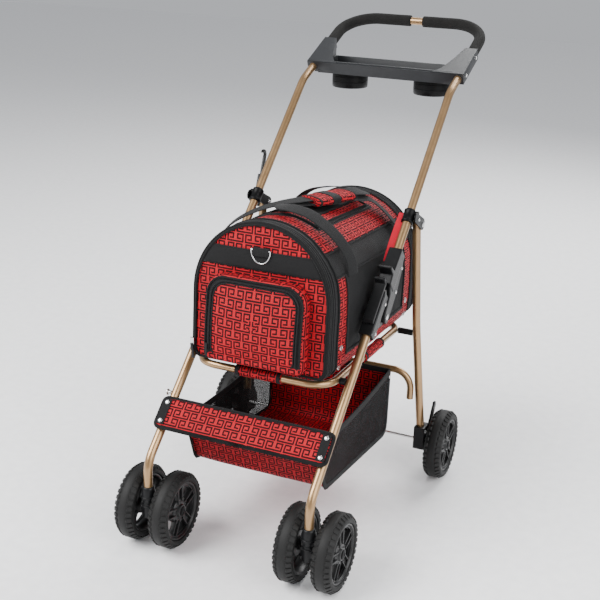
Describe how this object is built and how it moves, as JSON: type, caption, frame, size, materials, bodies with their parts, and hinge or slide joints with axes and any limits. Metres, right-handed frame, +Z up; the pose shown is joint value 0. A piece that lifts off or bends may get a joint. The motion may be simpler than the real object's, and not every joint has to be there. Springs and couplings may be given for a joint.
{
  "type": "pet stroller",
  "caption": "Folding pet stroller: tube frame on swivelling twin front wheels, soft lift-off carrier bag, basket below and a grip bar with a cup tray.",
  "frame": {"origin": "on the floor under the middle of the object's bounding box", "axes": "+X to the right seen from in front, +Y from the footrest towards the grip bar, +Z up"},
  "size_m": [0.6, 1.1197, 1.0266],
  "materials": {
    "gold_tube": "satin champagne-gold coating",
    "steel": "bright nickel",
    "black_plastic": "satin moulded black",
    "gloss_black": "glossy moulded black",
    "tray_plastic": "satin charcoal, fine grain",
    "wheel_plastic": "satin moulded black",
    "tyre": "matte black, lugged tread",
    "foam": "matte closed-cell foam",
    "red_fabric": "woven polyester with a dark geometric pattern",
    "black_fabric": "woven black webbing and binding"
  },
  "bodies": {
    "front_frame": {"front_leg_left": "gold_tube", "front_leg_right": "gold_tube", "caster_socket_left": "black_plastic", "caster_socket_right": "black_plastic", "latch_socket_left": "black_plastic", "latch_socket_right": "black_plastic", "footrest_panel": "red_fabric", "hook_stud": "steel", "basket": "red_fabric"},
    "handle": {"handle_tube": "gold_tube", "grip_left": "foam", "grip_right": "foam", "latch_arm_left": "black_plastic", "latch_arm_right": "black_plastic", "parent_tray": "tray_plastic", "clip_left": "gloss_black", "clip_right": "gloss_black"},
    "seat_frame": {"seat_loop": "gold_tube", "seat_sleeve_front": "red_fabric", "seat_sleeve_left": "red_fabric", "seat_sleeve_right": "red_fabric", "seat_spacer_front_left": "black_plastic", "seat_spacer_front_right": "black_plastic", "seat_spacer_rear_left": "black_plastic", "seat_spacer_rear_right": "black_plastic"},
    "rear_legs": {"rear_leg_left": "gold_tube", "rear_leg_right": "gold_tube", "rear_hub_left": "black_plastic", "rear_hub_right": "black_plastic", "basket_bar": "gold_tube", "rear_rod": "gold_tube"},
    "storage_hook": {"storage_hook": "black_plastic"},
    "carrier": {"carrier_shell": "red_fabric", "carrier_base": "black_fabric", "carry_strap_left": "black_fabric", "carry_strap_right": "black_fabric"},
    "front_door": {"front_door": "red_fabric", "front_pocket": "red_fabric"},
    "top_flap": {"top_flap": "red_fabric"},
    "d_ring": {"d_ring": "steel"},
    "latch_lever_left": {"latch_lever_left": "black_plastic"},
    "caster_left": {"caster_fork_left": "black_plastic", "front_axle_left": "steel"},
    "front_wheel_left_outer": {"front_rim_left_outer": "wheel_plastic", "front_tyre_left_outer": "tyre"},
    "front_wheel_left_inner": {"front_rim_left_inner": "wheel_plastic", "front_tyre_left_inner": "tyre"},
    "rear_wheel_left": {"rear_rim_left": "wheel_plastic", "rear_tyre_left": "tyre"},
    "brake_left": {"brake_left": "black_plastic"},
    "latch_lever_right": {"latch_lever_right": "black_plastic"},
    "caster_right": {"caster_fork_right": "black_plastic", "front_axle_right": "steel"},
    "front_wheel_right_outer": {"front_rim_right_outer": "wheel_plastic", "front_tyre_right_outer": "tyre"},
    "front_wheel_right_inner": {"front_rim_right_inner": "wheel_plastic", "front_tyre_right_inner": "tyre"},
    "rear_wheel_right": {"rear_rim_right": "wheel_plastic", "rear_tyre_right": "tyre"},
    "brake_right": {"brake_right": "black_plastic"}
  },
  "joints": [
    {"name": "handle_fold", "type": "hinge", "parent": "front_frame", "child": "handle", "pos_m": [0, -0.1574, 0.47105], "axis": [-1, 0, 0], "range_deg": [0, 130], "deforming": ["basket"]},
    {"name": "seat_fold", "type": "hinge", "parent": "front_frame", "child": "seat_frame", "pos_m": [0, -0.31934, 0.38], "axis": [-1, 0, 0], "range_deg": [0, 90]},
    {"name": "rear_fold", "type": "hinge", "parent": "handle", "child": "rear_legs", "pos_m": [0, 0.03866, 0.627], "axis": [1, 0, 0], "range_deg": [0, 90]},
    {"name": "storage_hook_swing", "type": "hinge", "parent": "handle", "child": "storage_hook", "pos_m": [-0.209, 0.03866, 0.627], "axis": [-1, 0, 0], "range_deg": [0, 110]},
    {"name": "carrier_lift", "type": "slide", "parent": "seat_frame", "child": "carrier", "axis": [0, 0, 1], "range_m": [0, 0.35]},
    {"name": "front_door_hinge", "type": "hinge", "parent": "carrier", "child": "front_door", "pos_m": [0, -0.3744, 0.40536], "axis": [1, 0, 0], "range_deg": [0, 80]},
    {"name": "top_flap_hinge", "type": "hinge", "parent": "carrier", "child": "top_flap", "pos_m": [0, 0.0374, 0.66961], "axis": [-1, 0, 0], "range_deg": [0, 100], "deforming": ["carry_strap_left", "carry_strap_right"]},
    {"name": "d_ring_hinge", "type": "hinge", "parent": "front_door", "child": "d_ring", "pos_m": [0, -0.36845, 0.64938], "axis": [-1, 0, 0], "range_deg": [0, 90]},
    {"name": "latch_release_left", "type": "slide", "parent": "front_frame", "child": "latch_lever_left", "axis": [0, 0.7385, 0.6743], "range_m": [0, 0.01], "stiffness_N_per_m": 400, "springref_m": -0.002},
    {"name": "caster_swivel_left", "type": "hinge", "parent": "front_frame", "child": "caster_left", "pos_m": [-0.183, -0.51434, 0.1], "axis": [0, 0, 1], "continuous": true},
    {"name": "front_wheel_left_outer_spin", "type": "hinge", "parent": "caster_left", "child": "front_wheel_left_outer", "pos_m": [-0.224, -0.47734, 0.0825], "axis": [1, 0, 0], "continuous": true},
    {"name": "front_wheel_left_inner_spin", "type": "hinge", "parent": "caster_left", "child": "front_wheel_left_inner", "pos_m": [-0.142, -0.47734, 0.0825], "axis": [1, 0, 0], "continuous": true},
    {"name": "rear_wheel_left_spin", "type": "hinge", "parent": "rear_legs", "child": "rear_wheel_left", "pos_m": [-0.278, 0.06366, 0.0825], "axis": [1, 0, 0], "continuous": true},
    {"name": "brake_press_left", "type": "hinge", "parent": "rear_legs", "child": "brake_left", "pos_m": [-0.2495, 0.04766, 0.12], "axis": [-1, 0, 0], "range_deg": [0, 15]},
    {"name": "latch_release_right", "type": "slide", "parent": "front_frame", "child": "latch_lever_right", "axis": [0, 0.7385, 0.6743], "range_m": [0, 0.01], "stiffness_N_per_m": 400, "springref_m": -0.002},
    {"name": "caster_swivel_right", "type": "hinge", "parent": "front_frame", "child": "caster_right", "pos_m": [0.183, -0.51434, 0.1], "axis": [0, 0, 1], "continuous": true},
    {"name": "front_wheel_right_outer_spin", "type": "hinge", "parent": "caster_right", "child": "front_wheel_right_outer", "pos_m": [0.224, -0.47734, 0.0825], "axis": [1, 0, 0], "continuous": true},
    {"name": "front_wheel_right_inner_spin", "type": "hinge", "parent": "caster_right", "child": "front_wheel_right_inner", "pos_m": [0.142, -0.47734, 0.0825], "axis": [1, 0, 0], "continuous": true},
    {"name": "rear_wheel_right_spin", "type": "hinge", "parent": "rear_legs", "child": "rear_wheel_right", "pos_m": [0.278, 0.06366, 0.0825], "axis": [1, 0, 0], "continuous": true},
    {"name": "brake_press_right", "type": "hinge", "parent": "rear_legs", "child": "brake_right", "pos_m": [0.2495, 0.04766, 0.12], "axis": [-1, 0, 0], "range_deg": [0, 15]}
  ],
  "couplings": [
    {"joint": "seat_fold", "follows": "handle_fold", "ratio": 0.68},
    {"joint": "rear_fold", "follows": "handle_fold", "ratio": 0.67}
  ]
}
